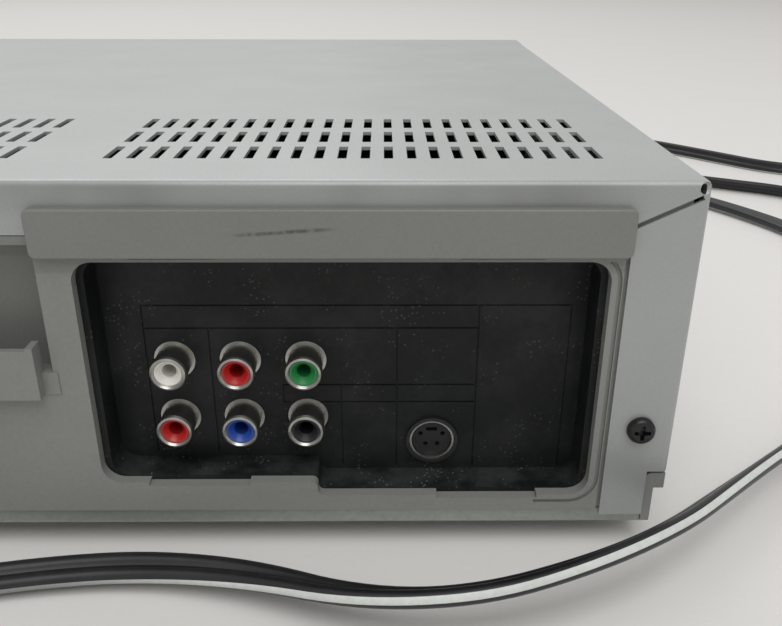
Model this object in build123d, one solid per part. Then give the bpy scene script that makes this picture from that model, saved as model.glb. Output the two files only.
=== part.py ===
from build123d import *
import math
import os

os.makedirs("parts", exist_ok=True)

# Disc and video-cassette combination player.
# Frame: +Z up, feet on Z = 0, front at -Y, rear at +Y, origin below the middle of the case. Millimetres.

# ---------------------------------------------------------------- driving dimensions
width = 430.0              # over the steel cover
depth = 270.0              # from the key faces to the cord hook's lip
body_height = 82.0         # top face to the pan's underside
foot_height = 6.0
foot_radius = 12.0
foot_inset_x = 40.0        # foot centre from the side
foot_inset_y = 30.0        # foot centre from the front and the rear

sheet = 0.8                # cover steel
bend = 1.5                 # outer radius of the cover's bends
pan_sheet = 1.0            # pan steel
pan_wall = 14.0            # height of the pan's side walls
pan_lip = 4.2              # height of the pan's rear lip
side_flange = 14.5         # cover's rear flanges at the sides
top_flange = 11.0          # cover's rear flange under the top
flange_low = 79.0          # top face down to the cover's lower edge
mitre_gap = 1.0            # open seam where the flanges meet
notch_width = 4.7          # corner notches in the cover
notch_drop = 67.2          # top face down to the notch
notch_depth = 12.0

vent_pitch = 5.0
vent_columns = 22
vent_first = 18.2          # first column from the right-hand side seen from behind
vent_blocks = 3
vent_block_step = 127.1
vent_rows = 3
vent_row_first = 24.2      # first row from the rear face
vent_row_step = 16.1
vent_slot = (2.0, 11.3)

plate_thick = 2.6          # rear plastic panel
plate_gap = 0.9            # panel to the steel flanges
pocket_depth = 10.5        # depth of both socket recesses
pocket_wall = 1.8
hood_proud = 2.0
hook_proud = 3.0
hook_length = 60.0
hook_wall = 1.5

bezel_depth = 18.0
bezel_wall = 3.0
key_proud = 1.0
key_travel = 1.1
slide_gap = 0.3            # clearance round keys, flaps and sliding pieces
seat_gap = 0.2             # clearance between panels that butt together
pin_gap = 0.05             # radial clearance of pins, shafts and bushed bores

jack_radius = 4.15         # outside of a socket's rolled rim
jack_wall = 0.7            # shell thickness behind the rim
rim_bore = 3.05            # opening inside the rim
rim_length = 2.4
rim_step = 0.2             # barrel behind the rim, in radius
jack_length = 8.8          # from the housing block to the shell's rim
jack_bore = 1.6
din_radius = 5.2
barrel_radius = 4.75       # threaded aerial socket
barrel_length = 8.0

board_thick = 1.6
fin_pitch = 2.4            # heat sink
fin_thick = 1.0
sink_fins = 20
standoff = 7.0             # boards above the pan
standoff_radius = 3.5

disc_x = -111.0            # middle of the disc drive
disc_y = -64.0             # spindle
tray_width = 131.0
tray_length = 150.0
tray_thick = 4.0
tray_skirt = 3.0
face_size = (138.0, 14.0)  # tray front
loader_floor = 47.0        # underside of the drive's floor
loader_plate = 2.5
loader_rail = 4.2
leg_inset = 1.5            # legs of the disc drive, in from the tray's side, front and back
leg_front = 25.0
leg_back = -3.0
disc_radius = 60.5
gear_module = 1.5
gear_teeth = 16
gear_backlash = 0.5

tape_x = 95.0              # middle of the cassette drive
cassette = (188.0, 103.0, 25.0)
deck_floor = 26.0          # underside of the deck plate
deck_plate = 1.6
deck_rear = 86.0
holder_length = 47.0
holder_travel = 60.0
holder_drop = 18.0
holder_wall = 1.0
slide_wall = 1.2
drum_radius = 31.0
drum_y = 51.0
flap_height = 32.0

cord_width = 7.2           # flat two-core mains lead
relief_length = 24.0
relief_x = 185.0
relief_z = 22.0
relief_neck = 5.0
plug_length = 34.0

# ---------------------------------------------------------------- derived places
half = width / 2
z_low = foot_height
z_top = foot_height + body_height
y_back = depth / 2 - hook_proud
y_front = -depth / 2 + key_proud
y_plate = y_front + bezel_wall
bezel_back = y_front + bezel_depth
cover_front = bezel_back + seat_gap
cover_low = z_top - flange_low
pan_top = z_low + pan_sheet
pan_half = half - sheet - slide_gap
pan_back = y_back - sheet - 0.1
board_z = pan_top + standoff
board_top = board_z + board_thick
pocket_floor = y_back - pocket_depth
pocket_back = pocket_floor - pocket_wall
plate_half = half - side_flange - plate_gap
loader_top = loader_floor + loader_plate
tray_low = loader_top + 7.5
tray_floor = tray_low + tray_skirt
tray_top = tray_floor + tray_thick
tray_back = y_plate + tray_length
tray_face_z = (tray_low + tray_top) / 2
deck_top = deck_floor + deck_plate
holder_half = cassette[0] / 2 + 0.5 + holder_wall
slide_half = holder_half + slide_gap + slide_wall
frame_half = slide_half + slide_gap
holder_low = 47.2
holder_front = -97.0
holder_back = holder_front + holder_length
holder_top = holder_low + holder_wall + cassette[2] + 0.6 + holder_wall
flap_half = cassette[0] / 2 + 4.0
flap_top = z_top - 10.5
flap_axis = (y_plate + 1.0, flap_top - 1.0)


# ---------------------------------------------------------------- shape helpers
def block(x, y, z):
    """Box between two limits on each axis."""
    size = Box(x[1] - x[0], y[1] - y[0], z[1] - z[0], align=(Align.MIN, Align.MIN, Align.MIN))
    return Pos(x[0], y[0], z[0]) * size


def upright_rod(radius, height):
    """Cylinder standing on the origin."""
    return Cylinder(radius, height, align=(Align.CENTER, Align.CENTER, Align.MIN))


def rod_z(x, y, z0, z1, radius):
    """Upright cylinder from z0 to z1."""
    return Pos(x, y, z0) * upright_rod(radius, z1 - z0)


def rod_y(x, z, y0, y1, radius):
    """Cylinder along Y from y0 to y1."""
    return Pos(x, y0, z) * Rot(-90, 0, 0) * upright_rod(radius, y1 - y0)


def rod_x(y, z, x0, x1, radius):
    """Cylinder along X from x0 to x1."""
    return Pos(x0, y, z) * Rot(0, 90, 0) * upright_rod(radius, x1 - x0)


def both_sides(shape):
    """The shape and its mirror image in the YZ plane."""
    return [shape, mirror(shape, about=Plane.YZ)]


def outline_y(points, radii, y0, y1):
    """Closed outline of (x, z) points with rounded corners, from y0 to y1."""
    face = make_face(FilletPolyline(*points, radius=radii, close=True))
    return extrude(Plane.XZ.offset(-y1) * face, amount=y1 - y0)


def from_right(distance):
    """X of a place measured from the right-hand side seen from behind."""
    return -half + distance


def below(drop):
    """Z of a place measured down from the top face."""
    return z_top - drop


def save(name, shape):
    """Write one sub-part."""
    if isinstance(shape, (list, tuple)):
        shape = Compound(children=list(shape))
    shape.label = name
    export_step(shape, f"parts/{name}.step")


# ---------------------------------------------------------------- case
def rounded_shell(x, y, z, radius):
    """Box whose top rear, top side and rear side edges are bent at the radius."""
    body = block(x, y, z)
    top = body.edges().filter_by(Axis.Y).filter_by(lambda e: e.center().Z > z[1] - 0.01)
    rear = body.edges().filter_by(Axis.X).filter_by(lambda e: e.center().Z > z[1] - 0.01)
    rear = rear.filter_by(lambda e: e.center().Y > y[1] - 0.01)
    upright = body.edges().filter_by(Axis.Z).filter_by(lambda e: e.center().Y > y[1] - 0.01)
    return fillet(top + rear + upright, radius)


def vent_slots():
    """All the ventilation slots of the top as cutting blocks."""
    slots = []
    for group in range(vent_blocks):
        for column in range(vent_columns):
            for row in range(vent_rows):
                x = from_right(vent_first + group * vent_block_step + column * vent_pitch)
                y = y_back - vent_row_first - row * vent_row_step
                across = (x - vent_slot[0] / 2, x + vent_slot[0] / 2)
                along = (y - vent_slot[1] / 2, y + vent_slot[1] / 2)
                slots.append(block(across, along, (z_top - 2 * sheet, z_top + sheet)))
    return slots


def rear_screw_place():
    """X and Z of the screw in the right-hand rear flange."""
    return from_right(7.6), below(56.0)


def side_screw_places():
    """Y and Z of the screws in each side."""
    return [(cover_front + 40.0, below(60.0)), (y_back - 60.0, below(60.0))]


def mitre_seam():
    """The slanting open seam between the top flange and the right-hand side flange."""
    inner = (from_right(side_flange + 1.0), below(9.9))
    outer = (from_right(1.6), below(3.3))
    length = math.hypot(outer[0] - inner[0], outer[1] - inner[1])
    angle = math.degrees(math.atan2(outer[1] - inner[1], inner[0] - outer[0]))
    middle = ((inner[0] + outer[0]) / 2, (inner[1] + outer[1]) / 2)
    return Pos(middle[0], y_back, middle[1]) * Rot(0, angle, 0) * Box(length, 4 * bend, mitre_gap)


def top_cover():
    outside = rounded_shell((-half, half), (cover_front, y_back), (cover_low, z_top), bend)
    inner_x = (-half + sheet, half - sheet)
    inner_y = (cover_front - 1, y_back - sheet)
    inside = rounded_shell(inner_x, inner_y, (cover_low - 1, z_top - sheet), bend - sheet)
    cover = outside - inside
    window = (-half + side_flange, half - side_flange)
    cover -= block(window, (y_back - bend, y_back + 1), (cover_low - 1, z_top - top_flange))
    cuts = both_sides(mitre_seam())
    cuts += both_sides(Pos(from_right(1.1), y_back, below(1.6)) * Sphere(bend))
    notch_y = (y_back - notch_depth, y_back + 1)
    cuts += both_sides(block((-half - 1, from_right(notch_width)), notch_y, (0, below(notch_drop))))
    screw_x, screw_z = rear_screw_place()
    cuts += both_sides(rod_y(screw_x, screw_z, y_back - 2, y_back + 1, 1.7))
    for y, z in side_screw_places():
        cuts += both_sides(rod_x(y, z, -half - 1, -half + 2, 1.7))
    return cover - cuts - vent_slots()


def board_places():
    """Standoff centres of the main board and of the power board."""
    main = [(x, y) for x in (-200.0, -22.0) for y in (-62.0, 30.0, 112.0)]
    power = [(x, y) for x in (38.0, 200.0) for y in (93.0, 113.0)]
    return main + power


def chassis_pan():
    y0 = bezel_back + 2 * seat_gap
    wall_top = z_low + pan_wall
    body = block((-pan_half, pan_half), (y0, pan_back), (z_low, wall_top))
    low = body.edges().filter_by(Axis.X).filter_by(lambda e: e.center().Z < z_low + 0.01)
    body = fillet(low.filter_by(lambda e: e.center().Y > 0), 1.2)
    inner_x = (-pan_half + pan_sheet, pan_half - pan_sheet)
    body -= block(inner_x, (y0 + pan_sheet, pan_back - pan_sheet), (pan_top, wall_top + 1))
    body -= block((-half, half), (pan_back - 2, pan_back + 1), (z_low + pan_lip, wall_top + 1))
    corner_y = (y_back - notch_depth - 1, y_back + 1)
    body -= both_sides(block((-half - 1, from_right(2.4)), corner_y, (0, wall_top + 1)))
    body -= both_sides(block((-half - 1, from_right(notch_width)), corner_y, (pan_top, wall_top + 1)))
    for x, y in board_places():
        body += rod_z(x, y, pan_top - 0.2, board_z, standoff_radius)
    for y, z in side_screw_places():
        ear = block((-pan_half, -pan_half + pan_sheet), (y - 8, y + 8), (z_low + pan_wall - 1, z + 6))
        ear -= rod_x(y, z, -half, -half + 5, 1.5)
        for piece in both_sides(ear):
            body += piece
    return body


def corner_hooks():
    bar = block((from_right(2.5), from_right(4.5)), (y_back - 9, y_back - 0.6), (pan_top, below(68.0)))
    arm_y = (y_back - 3.8, y_back - 0.6)
    arm = block((from_right(0.2), from_right(4.5)), arm_y, (below(72.0), below(68.0)))
    hook = bar + arm
    bent = hook.edges().filter_by(Axis.Y).filter_by(lambda e: e.center().Z > below(68.0) - 0.01)
    bent = bent.filter_by(lambda e: e.center().X > from_right(4.4))
    return both_sides(fillet(bent, 1.2))


def case_screws():
    def screw():
        head = upright_rod(3.1, 1.9)
        head = fillet(head.edges().sort_by(Axis.Z)[-1], 1.1)
        cross = Pos(0, 0, 1.9) * (Box(3.6, 0.9, 2.4) + Box(0.9, 3.6, 2.4))
        cross += Pos(0, 0, 1.9) * Rot(0, 0, 45) * Box(1.7, 1.7, 2.0)
        shank = rod_z(0, 0, -5.0, 0, 1.45)
        return head - cross + shank
    screw_x, screw_z = rear_screw_place()
    rear = Pos(screw_x, y_back, screw_z) * Rot(-90, 0, 0) * screw()
    pieces = both_sides(rear)
    for y, z in side_screw_places():
        pieces += both_sides(Pos(-half, y, z) * Rot(0, -90, 0) * screw())
    return pieces


def feet():
    pieces = []
    for x in (-half + foot_inset_x, half - foot_inset_x):
        for y in (y_front + foot_inset_y, y_back - foot_inset_y):
            foot = rod_z(x, y, 0, foot_height, foot_radius)
            pieces.append(chamfer(foot.edges().sort_by(Axis.Z)[0], 1.5))
    return pieces


# ---------------------------------------------------------------- rear panel and sockets
recess_right = 17.8        # sides of the right-hand recess, from the right-hand side of the case
recess_left = 127.6
recess_step = 79.3
recess_top = 16.7          # drops from the top face
recess_low_left = 69.8
recess_low_right = 73.4
recess_round = 4.5
tub_draw = (1.6, 0.3)      # how far the black tub stands inside the opening, in X and in Z
hood_left = 134.5          # left end of the hood, and the second recess's right wall
hood_drop = (5.2, 15.4)
second_left = 260.0        # far wall of the second recess
second_drop = (13.0, 45.0)
hook_drop = (35.2, 46.7)
hook_start = 138.3
jack_hole = 4.8
din_hole = 5.25


def recess_outline(inset_x, inset_z, radius, y0, y1):
    """Stepped outline of the right-hand recess, drawn in by the insets."""
    right = from_right(recess_right + inset_x)
    left = from_right(recess_left - inset_x)
    step = from_right(recess_step)
    top = below(recess_top + inset_z)
    low_left = below(recess_low_left - inset_z)
    low_right = below(recess_low_right - inset_z)
    points = [(right, top), (left, top), (left, low_left), (step, low_left)]
    points += [(step, low_right), (right, low_right)]
    return outline_y(points, [radius, radius, radius, 1.4, 1.4, radius], y0, y1)


def rear_jacks():
    """X, Z and colour of the sockets in the right-hand recess."""
    places = []
    for drop, row in ((44.2, ("white", "red", "green")), (58.9, ("red", "blue", "black"))):
        for column, colour in zip((111.5, 96.7, 81.9), row):
            places.append((from_right(column), below(drop), colour))
    return places


def line_jacks():
    """X, Z and colour of the sockets in the second recess."""
    places = []
    for drop in (21.5, 36.0):
        for column, colour in zip((192.0, 177.5, 163.0), ("yellow", "white", "red")):
            places.append((from_right(column), below(drop), colour))
    return places


def front_jacks():
    """X, Z and colour of the sockets in the front."""
    return [(-198.0, 26.0, "yellow"), (-184.0, 26.0, "white"), (-170.0, 26.0, "red")]


def aerial_places():
    """X and Z of the two aerial sockets."""
    return [(from_right(column), below(29.0)) for column in (218.0, 242.0)]


def din_place():
    """X and Z of the round video socket."""
    return from_right(53.0), below(65.0)


def slit_places():
    """Limits, from the right and from the top, of the slits for the tub's catches."""
    above = [(31.7, 48.6, 15.3, 16.1), (98.3, 115.5, 15.3, 16.1)]
    return above + [(94.6, 117.4, 69.0, 70.7), (29.3, 52.2, 72.5, 74.3)]


def hood():
    """Raised lip that overlaps the steel flange above the recess."""
    x = (from_right(side_flange), from_right(hood_left))
    body = block(x, (y_back, y_back + hood_proud), (below(hood_drop[1]), below(hood_drop[0])))
    body = fillet(body.edges().filter_by(Axis.Y), 1.4)
    return fillet(body.faces().sort_by(Axis.Y)[-1].edges(), 0.4)


def cord_hook(wall_x):
    """Shelf with an upturned lip, closed at its ends by ribs."""
    x0 = from_right(hook_start)
    x1 = x0 + hook_length
    out = y_back + hook_proud
    z0, z1 = below(hook_drop[1]), below(hook_drop[0])
    hook = block((x0, x1), (out - hook_wall, out), (z0, z1))
    hook += block((x0, x1), (y_back - 1, out), (z0, z0 + hook_wall))
    for x in (x0 - hook_wall, x1):
        hook += block((x, x + hook_wall), (y_back - 1, out), (z0, z1 + 0.6))
    hook += block((wall_x - 1, x0 - hook_wall), (y_back - 2, y_back + 0.3), (z0, z0 + 5.2))
    return hook


def rear_panel():
    y0 = y_back - plate_thick
    behind = (y0, y_back - sheet - 0.1)
    panel = block((-plate_half, plate_half), (y0, y_back), (z_low + pan_lip + 0.4, below(top_flange + 0.2)))
    panel += block((from_right(3.2), -from_right(3.2)), behind, (below(14.0), below(2.5)))
    for wing in both_sides(block((from_right(3.2), from_right(18.0)), behind, (below(64.0), below(5.0)))):
        panel += wing
    low_wing = block((from_right(6.0), from_right(18.0)), behind, (z_low + pan_lip + 0.4, below(63.0)))
    for wing in both_sides(low_wing):
        panel += wing
    x = (from_right(hood_left), from_right(second_left))
    z = (below(second_drop[1]), below(second_drop[0]))
    pocket_z = (z[0] - pocket_wall, z[1] + pocket_wall)
    panel += block((x[0] - pocket_wall, x[1] + pocket_wall), (pocket_back, y0 + 1), pocket_z)
    panel -= block(x, (pocket_floor, y_back + 1), z)
    panel += hood()
    panel += cord_hook(x[0])
    panel -= recess_outline(0, 0, recess_round, y0 - 1, y_back + 0.5)
    for d0, d1, drop0, drop1 in slit_places():
        slit = (below(drop1), below(drop0))
        panel -= block((from_right(d0), from_right(d1)), (y0 - 1, y_back + 0.5), slit)
    groove = recess_outline(-2.2, -2.2, recess_round + 2.2, y_back - 0.6, y_back + 0.5)
    groove -= recess_outline(-1.3, -1.3, recess_round + 1.3, y_back - 1, y_back + 1)
    groove &= block((from_right(14), from_right(30)), (y_back - 1, y_back + 1), (0, below(recess_top)))
    panel -= groove
    for jack_x, jack_z, _ in line_jacks():
        panel -= rod_y(jack_x, jack_z, pocket_back - 1, pocket_floor + 1, jack_hole)
    for aerial_x, aerial_z in aerial_places():
        panel -= rod_y(aerial_x, aerial_z, pocket_back - 1, pocket_floor + 1, barrel_radius + 0.3)
    screw_x, screw_z = rear_screw_place()
    for hole in both_sides(rod_y(screw_x, screw_z, y0 - 1, y_back, 1.5)):
        panel -= hole
    panel -= rod_y(relief_x, relief_z, y0 - 1, y_back + 1, relief_neck + slide_gap)
    return panel


def label_grooves():
    """Fine sunk lines that frame the groups of sockets, as cutting blocks."""
    line = 0.4
    sunk = 0.35
    lines = [
        (117.5, 30.6, 43.2, 30.6), (117.5, 36.1, 43.2, 36.1), (117.5, 30.6, 117.5, 68.0),
        (103.2, 36.1, 103.2, 68.0), (74.0, 50.4, 74.0, 72.0), (61.3, 36.1, 61.3, 72.4),
        (43.2, 30.6, 43.2, 72.4), (87.2, 50.4, 43.2, 50.4), (87.2, 54.9, 43.2, 54.9),
        (87.2, 50.4, 87.2, 54.9), (43.2, 30.6, 22.9, 30.6), (22.9, 30.6, 22.9, 72.4),
    ]
    cuts = []
    for d0, drop0, d1, drop1 in lines:
        x = (from_right(min(d0, d1)) - line / 2, from_right(max(d0, d1)) + line / 2)
        z = (below(max(drop0, drop1)) - line / 2, below(min(drop0, drop1)) + line / 2)
        cuts.append(block(x, (pocket_floor - sunk, pocket_floor + 1), z))
    return cuts


def jack_panel():
    """Black tub whose floor carries the sockets."""
    in_x, in_z = tub_draw
    outer = (in_x - pocket_wall, in_z - pocket_wall)
    tub = recess_outline(*outer, recess_round + 1.5, pocket_back, y_back - plate_thick)
    tub -= recess_outline(in_x, in_z, recess_round - 0.3, pocket_floor, y_back)
    holes = [rod_y(x, z, pocket_back - 1, pocket_floor + 1, jack_hole) for x, z, _ in rear_jacks()]
    holes.append(rod_y(*din_place(), pocket_back - 1, pocket_floor + 1, din_hole))
    return tub - holes - label_grooves()


def turned(profile):
    """Solid of revolution about Y from (radius, y) points."""
    return revolve(make_face(Polyline(*profile, close=True)), Axis.Y)


def jack_shell():
    """Metal shell with its earthing collar and rolled rim, from the housing at Y = 0."""
    r = jack_radius
    bore = r - jack_wall
    lip = jack_length - rim_length
    collar = [(r - rim_step, 0.8), (r + 0.5, 0.8), (r + 0.5, 1.4), (r - rim_step, 1.4)]
    rim = [(r - rim_step, lip - 0.3), (r, lip), (r, jack_length - 0.8), (r - 0.25, jack_length - 0.25)]
    rim += [(r - 0.7, jack_length), (rim_bore + 0.3, jack_length - 0.1), (rim_bore, jack_length - 0.5)]
    inside = [(rim_bore, lip + 0.6), (bore, lip + 0.2), (bore, 0)]
    return turned([(r - rim_step, 0)] + collar + rim + inside)


def jack_insert():
    """Coloured plastic core with a funnel mouth inside the rim."""
    base = jack_radius - jack_wall - pin_gap
    neck = rim_bore - pin_gap
    shoulder = jack_length - rim_length - 0.1
    front = jack_length - 0.6
    mouth = [(neck, front), (neck - 0.3, front), (jack_bore, front - 1.5)]
    outside = [(0, 0), (base, 0), (base, shoulder), (neck, shoulder + 0.4)]
    return turned(outside + mouth + [(jack_bore, 1.2), (0, 1.2)])


def placed_jacks(shape, colour=None):
    """Copies of a shape at each socket, or at those of one colour."""
    rear = [(x, pocket_back, z, 0, c) for x, z, c in rear_jacks() + line_jacks()]
    front = [(x, jack_board_y, z, 180, c) for x, z, c in front_jacks()]
    chosen = [place[:4] for place in rear + front if colour in (None, place[4])]
    return [Pos(x, y, z) * Rot(0, 0, turn) * shape for x, y, z, turn in chosen]


def jack_blocks():
    """Black housings behind the sockets, and the cores of the black sockets, of the same plastic."""
    length = 13.0
    margin = 5.8
    pieces = placed_jacks(jack_insert(), "black")
    for places in (rear_jacks(), line_jacks()):
        for x in sorted({x for x, _, _ in places}):
            z = [place[1] for place in places]
            pieces.append(block((x - margin, x + margin), (pocket_back - length, pocket_back),
                                (min(z) - margin, max(z) + margin)))
    x, z = din_place()
    pieces.append(block((x - margin, x + margin), (pocket_back - length, pocket_back), (z - margin, z + margin)))
    return pieces


def din_shell():
    x, z = din_place()
    tube = rod_y(x, z, pocket_back, pocket_floor + 0.5, din_radius)
    return tube - rod_y(x, z, pocket_back - 1, pocket_floor + 1, din_radius - 0.45)


def din_core():
    x, z = din_place()
    face = pocket_floor - 0.5
    core = rod_y(x, z, pocket_back, face, din_radius - 0.45 - pin_gap)
    for side in (-1, 1):
        core -= rod_y(x + side * 1.4, z - 1.6, face - 1.2, face + 1, 0.55)
        core -= rod_y(x + side * 2.6, z + 1.2, face - 1.2, face + 1, 0.55)
    core -= block((x - 1.3, x + 1.3), (face - 1.2, face + 1), (z + 1.9, z + 2.9))
    collar = rod_y(x, z, pocket_floor, pocket_floor + 0.9, din_radius + 0.85)
    collar -= rod_y(x, z, pocket_floor - 1, pocket_floor + 2, din_radius + pin_gap)
    return [core, collar]


def tuner():
    """Screened tuner can with its two threaded aerial sockets."""
    places = aerial_places()
    x = [place[0] for place in places]
    z = places[0][1]
    can = block((min(x) - 14, max(x) + 14), (pocket_back - 26, pocket_back), (z - 16, z + 15))
    for aerial_x, aerial_z in places:
        barrel = rod_y(aerial_x, aerial_z, pocket_back - 1, pocket_floor + barrel_length, barrel_radius)
        for ring in range(6):
            y = pocket_floor + 1.4 + ring
            groove = rod_y(aerial_x, aerial_z, y, y + 0.5, barrel_radius + 1)
            barrel -= groove - rod_y(aerial_x, aerial_z, y - 1, y + 1, barrel_radius - 0.4)
        barrel -= rod_y(aerial_x, aerial_z, pocket_back + 1, pocket_floor + barrel_length + 1, 3.0)
        pin = rod_y(aerial_x, aerial_z, pocket_back, pocket_floor + 5, 1.6)
        can += barrel
        can += pin - rod_y(aerial_x, aerial_z, pocket_floor, pocket_floor + 6, 0.6)
    return can


# ---------------------------------------------------------------- boards
front_board_top = 36.0
jack_board_y = y_front + 1.0 + jack_length
switch_depth = 2.4


def loader_posts():
    """X and Y of the disc drive's legs."""
    across = tray_width / 2 - leg_inset
    along = (y_plate + leg_front, tray_back - leg_back)
    return [(disc_x + side * across, y) for side in (-1, 1) for y in along]


def main_board():
    board = block((-207.0, -14.0), (-70.0, 118.0), (board_z, board_top))
    for x, y in loader_posts():
        board -= rod_z(x, y, 0, board_top + 1, 5.0)
    chips = ((-150.0, 70.0, 28.0), (-95.0, 60.0, 22.0), (-60.0, -20.0, 24.0), (-120.0, -30.0, 18.0))
    for x, y, size in chips:
        chip = (board_top - 0.1, board_top + 2.4)
        board += block((x - size / 2, x + size / 2), (y - size / 2, y + size / 2), chip)
    return board


def power_board():
    board = block((30.0, 207.0), (88.5, 117.0), (board_z, board_top))
    return board + block((60.0, 84.0), (94.0, 112.0), (board_top - 0.1, board_top + 12.0))


def transformer():
    core = block((140.0, 176.0), (90.0, 116.0), (board_top, board_top + 28.0))
    winding = block((146.0, 170.0), (88.0, 118.0), (board_top + 6.0, board_top + 22.0))
    return core + fillet(winding.edges().filter_by(Axis.X), 3.0)


def capacitors():
    large = [(100.0, 98.0, 8.0, 30.0), (120.0, 98.0, 8.0, 30.0)]
    places = large + [(98.0, 111.0, 4.0, 16.0), (110.0, 111.0, 4.0, 16.0)]
    return [rod_z(x, y, board_top, board_top + height, radius) for x, y, radius, height in places]


def heat_sink():
    """Ribbed aluminium sink just below the last vents."""
    x0 = from_right(13.0)
    back = y_back - 18.0
    top = z_top - sheet - 1.7
    sink = block((x0, x0 + 13.0), (back - sink_fins * fin_pitch, back), (board_top, board_top + 4.0))
    for fin in range(sink_fins):
        y = back - (fin + 1) * fin_pitch
        sink += block((x0, x0 + 13.0), (y, y + fin_thick), (board_top + 3.9, top))
    return sink


# ---------------------------------------------------------------- disc drive
gear_pitch_radius = gear_module * gear_teeth / 2
gear_pitch = math.pi * gear_module
tooth_half = gear_pitch / 4 - gear_backlash / 2
tooth_out = 0.8 * gear_module
tooth_in = 1.1 * gear_module
flank = math.tan(math.radians(20))
pinion_x = disc_x + 36.0
pinion_y = y_plate + 14.2
rack_x = pinion_x + gear_pitch_radius
rod_place = 15.0
screw_place = 26.0
rod_z_place = loader_top + 3.0
rod_radius = 1.5
sled_length = 24.0
sled_start = disc_y + 17.0
sled_travel = 35.0
lug_y = (disc_y + 12.0, disc_y + 80.0)
lug_thick = 2.0


def loader_frame():
    half = tray_width / 2 + slide_gap + loader_rail
    x = (disc_x - half, disc_x + half)
    y = (y_plate + 2.0, tray_back + 8.0)
    frame = block(x, y, (loader_floor, loader_top))
    for side in (-1, 1):
        def strip(near, far, z):
            edges = sorted((disc_x + side * near, disc_x + side * far))
            return block(edges, y, z)
        inner = tray_width / 2 + slide_gap
        frame += strip(inner, inner + loader_rail, (loader_top - 0.1, tray_top + 2.0))
        frame += strip(inner - 4.5, inner + 1, (loader_top - 0.1, tray_low - seat_gap))
        frame += strip(inner - 2.3, inner + 1, (tray_top + slide_gap, tray_top + 2.0))
    for post_x, post_y in loader_posts():
        frame += rod_z(post_x, post_y, pan_top, loader_floor + 0.1, 4.0)
    slot_y = (lug_y[0] + 6, lug_y[1] - 2)
    frame -= block((disc_x - 24, disc_x + 24), slot_y, (loader_floor - 1, loader_top + 1))
    frame -= rod_z(disc_x, disc_y, loader_floor - 1, loader_top + 1, 3.0)
    frame -= rod_z(pinion_x, pinion_y, loader_floor - 1, loader_top + 1, 2.0 + pin_gap)
    for y_lug in lug_y:
        ends = (y_lug, y_lug + lug_thick)
        for x0, x1 in ((-rod_place - 3, -rod_place + 3), (rod_place - 3, screw_place + 3)):
            frame += block((disc_x + x0, disc_x + x1), ends, (loader_top - 0.1, rod_z_place + 3))
        for place in (-rod_place, rod_place, screw_place):
            ends = (y_lug - 1, y_lug + lug_thick + 1)
            frame -= rod_y(disc_x + place, rod_z_place, *ends, rod_radius + pin_gap)
    return frame


def rack_tooth(y):
    """One tooth of the tray's rack, pointing to -X."""
    tip = tooth_half - tooth_out * flank
    root = tooth_half + tooth_in * flank
    points = [(rack_x + tooth_in + 0.1, y - root), (rack_x - tooth_out, y - tip),
              (rack_x - tooth_out, y + tip), (rack_x + tooth_in + 0.1, y + root)]
    face = make_face(Polyline(*points, close=True))
    return extrude(Pos(0, 0, tray_low) * face, amount=tray_skirt + 0.1)


def disc_tray():
    side = tray_width / 2
    y = (y_plate, tray_back)
    tray = block((disc_x - side, disc_x + side), y, (tray_floor, tray_top))
    for edge in (disc_x - side, disc_x + side - 3.5):
        tray += block((edge, edge + 3.5), y, (tray_low, tray_floor + 0.1))
    tray += block((rack_x + tooth_in, rack_x + tooth_in + 3.0), y, (tray_low, tray_floor + 0.1))
    first = pinion_y + gear_pitch / 2
    low = math.ceil((y[0] + 2 - first) / gear_pitch)
    high = math.floor((y[1] - 2 - first) / gear_pitch)
    for tooth in range(low, high + 1):
        tray += rack_tooth(first + tooth * gear_pitch)
    tray -= rod_z(disc_x, disc_y, tray_top - 1.6, tray_top + 1, disc_radius)
    tray -= rod_z(disc_x, disc_y, tray_top - 2.4, tray_top + 1, 40.5)
    slot_y = (disc_y - 1, disc_y + 60)
    tray -= block((disc_x - 22, disc_x + 22), slot_y, (tray_low - 1, tray_top + 1))
    tray -= rod_z(disc_x, disc_y, tray_low - 1, tray_top + 1, 22.0)
    return tray


def tray_face():
    x = (disc_x - face_size[0] / 2, disc_x + face_size[0] / 2)
    z = (tray_face_z - face_size[1] / 2, tray_face_z + face_size[1] / 2)
    points = [(x[0], z[0]), (x[1], z[0]), (x[1], z[1]), (x[0], z[1])]
    face = outline_y(points, [2.0] * 4, y_front, y_plate)
    return fillet(face.faces().sort_by(Axis.Y)[0].edges(), 0.6)


def tray_pinion():
    root = gear_pitch_radius - tooth_in
    tip = gear_pitch_radius + tooth_out
    points = []
    for tooth in range(gear_teeth):
        middle = 2 * math.pi * tooth / gear_teeth
        for radius, half_width in ((root, -1.15), (tip, -0.42), (tip, 0.42), (root, 1.15)):
            angle = middle + half_width / radius
            points.append((radius * math.cos(angle), radius * math.sin(angle)))
    wheel = extrude(make_face(Polyline(*points, close=True)), amount=tray_floor - loader_top - 1.0)
    wheel = Pos(pinion_x, pinion_y, loader_top + 0.5) * wheel
    return wheel + rod_z(pinion_x, pinion_y, loader_floor - 4.0, loader_top + 1, 2.0)


def motor(x, y, radius, shaft):
    """Motor can hung under the drive's floor."""
    can = rod_z(x, y, loader_floor - 10.0, loader_floor, radius)
    can = fillet(can.edges().sort_by(Axis.Z)[0], 1.5)
    return can - rod_z(x, y, loader_floor - 5.0, loader_floor + 1, shaft + pin_gap)


def turntable():
    table = rod_z(disc_x, disc_y, loader_top + 1.5, loader_top + 3.6, 14.0)
    hub = rod_z(disc_x, disc_y, loader_top + 3.5, loader_top + 6.8, 7.4)
    hub = chamfer(hub.edges().sort_by(Axis.Z)[-1], 1.5)
    return table + hub + rod_z(disc_x, disc_y, loader_floor - 4.0, loader_top + 2, 1.5)


bridge_low = tray_top + 6.5
bridge_y = (disc_y - 26.0, disc_y + 26.0)


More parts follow.
